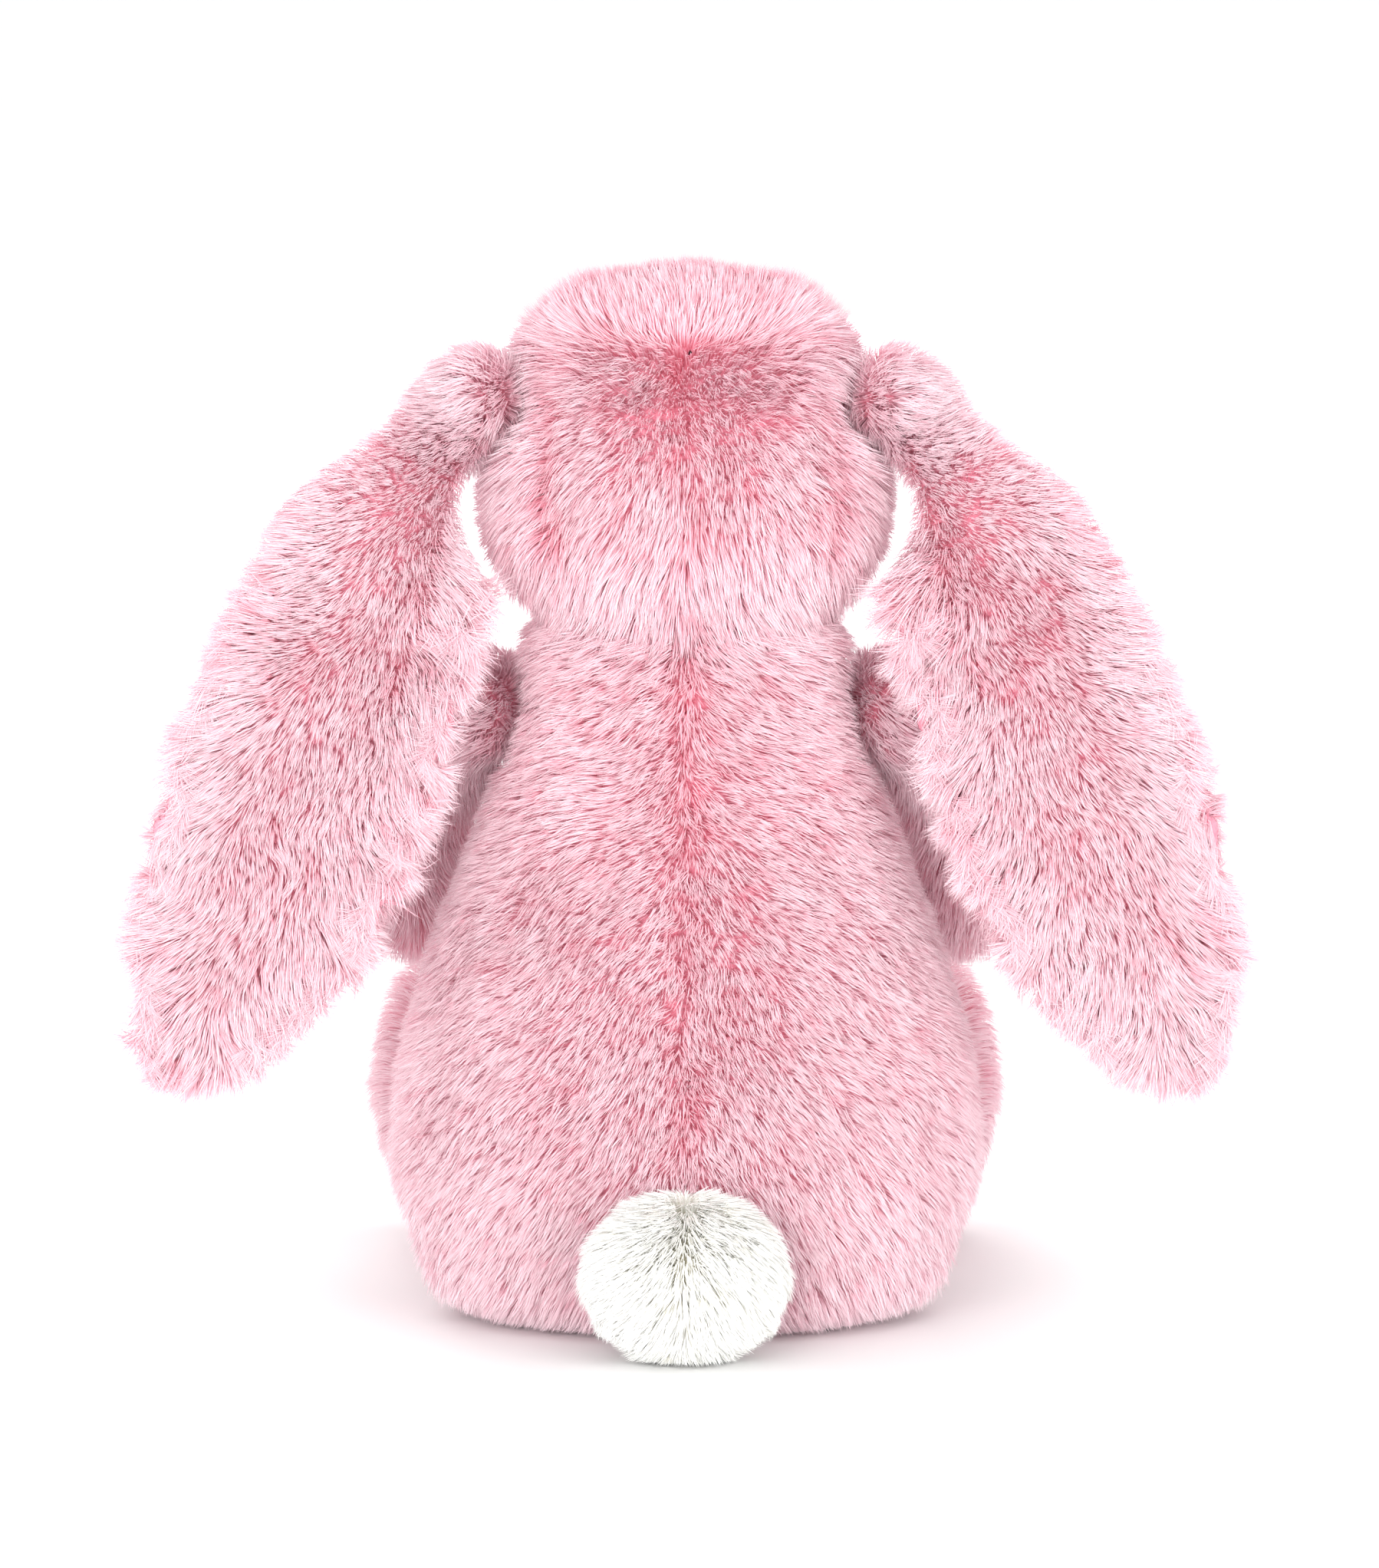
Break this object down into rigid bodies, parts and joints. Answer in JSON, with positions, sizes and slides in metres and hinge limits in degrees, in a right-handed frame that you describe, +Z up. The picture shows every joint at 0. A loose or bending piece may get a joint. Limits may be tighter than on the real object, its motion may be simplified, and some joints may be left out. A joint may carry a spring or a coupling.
{
  "type": "stuffed bunny rabbit",
  "caption": "Sitting plush rabbit in pink fur fabric with long drooping ears, a round cream tail, soft arms and legs, and a weighted seat.",
  "frame": {"origin": "centre of the flat seat, on the floor, under the body's middle", "axes": "+Z up through the head, -Y the way the toy looks, +X towards its own left side, along the span of the ears"},
  "size_m": [0.2192, 0.1923, 0.2095],
  "materials": {
    "pink_fur": "matte",
    "white_fur": "matte",
    "fibre_filling": "matte",
    "pouch_cloth": "matte",
    "pellet_plastic": "satin",
    "stitching": "satin",
    "eye_plastic": "gloss",
    "washer_plastic": "satin"
  },
  "bodies": {
    "torso": {"body_back_left": "pink_fur", "body_back_right": "pink_fur", "body_belly": "pink_fur", "body_seat": "pink_fur", "body_filling": "fibre_filling", "pouch_bottom": "pouch_cloth", "pouch_top": "pouch_cloth", "pellets": "pellet_plastic", "tail_left": "white_fur", "tail_right": "white_fur", "tail_filling": "fibre_filling"},
    "neck": {"neck_filling": "fibre_filling"},
    "head": {"head_back_left": "pink_fur", "head_back_right": "pink_fur", "head_cheek_left": "pink_fur", "head_cheek_right": "pink_fur", "head_gusset": "pink_fur", "head_filling": "fibre_filling", "eye_left": "eye_plastic", "eye_right": "eye_plastic", "eye_washer_left": "washer_plastic", "eye_washer_right": "washer_plastic", "nose_stitching": "stitching", "mouth_stitching": "stitching"},
    "ear_left": {"ear_left_outer": "pink_fur", "ear_left_lining": "pink_fur", "ear_left_wadding": "fibre_filling"},
    "arm_left": {"arm_left_outer": "pink_fur", "arm_left_inner": "pink_fur", "arm_left_filling": "fibre_filling"},
    "leg_left": {"leg_left_outer": "pink_fur", "leg_left_inner": "pink_fur", "leg_left_sole": "pink_fur", "leg_left_filling": "fibre_filling"},
    "ear_right": {"ear_right_outer": "pink_fur", "ear_right_lining": "pink_fur", "ear_right_wadding": "fibre_filling"},
    "arm_right": {"arm_right_outer": "pink_fur", "arm_right_inner": "pink_fur", "arm_right_filling": "fibre_filling"},
    "leg_right": {"leg_right_outer": "pink_fur", "leg_right_inner": "pink_fur", "leg_right_sole": "pink_fur", "leg_right_filling": "fibre_filling"}
  },
  "joints": [
    {"name": "neck_turn", "type": "hinge", "parent": "torso", "child": "neck", "pos_m": [0, 0, 0.146], "axis": [0, 0, 1], "range_deg": [-10, 10], "stiffness_Nm_per_rad": 0.12},
    {"name": "neck_nod", "type": "hinge", "parent": "neck", "child": "head", "pos_m": [0, 0, 0.146], "axis": [1, 0, 0], "range_deg": [-8, 12], "stiffness_Nm_per_rad": 0.2},
    {"name": "ear_left_lift", "type": "hinge", "parent": "head", "child": "ear_left", "pos_m": [0.04, 0.005, 0.1835], "axis": [0, -1, 0], "range_deg": [0, 60], "stiffness_Nm_per_rad": 0.01},
    {"name": "arm_left_swing", "type": "hinge", "parent": "torso", "child": "arm_left", "pos_m": [0.04, -0.005, 0.121], "axis": [-1, 0, 0], "range_deg": [0, 75], "stiffness_Nm_per_rad": 0.01},
    {"name": "leg_left_lift", "type": "hinge", "parent": "torso", "child": "leg_left", "pos_m": [0.031, -0.04, 0.022], "axis": [-1, 0, 0], "range_deg": [0, 20], "stiffness_Nm_per_rad": 0.05},
    {"name": "ear_right_lift", "type": "hinge", "parent": "head", "child": "ear_right", "pos_m": [-0.04, 0.005, 0.1835], "axis": [0, 1, 0], "range_deg": [0, 60], "stiffness_Nm_per_rad": 0.01},
    {"name": "arm_right_swing", "type": "hinge", "parent": "torso", "child": "arm_right", "pos_m": [-0.04, -0.005, 0.121], "axis": [-1, 0, 0], "range_deg": [0, 75], "stiffness_Nm_per_rad": 0.01},
    {"name": "leg_right_lift", "type": "hinge", "parent": "torso", "child": "leg_right", "pos_m": [-0.031, -0.04, 0.022], "axis": [-1, 0, 0], "range_deg": [0, 20], "stiffness_Nm_per_rad": 0.05}
  ]
}
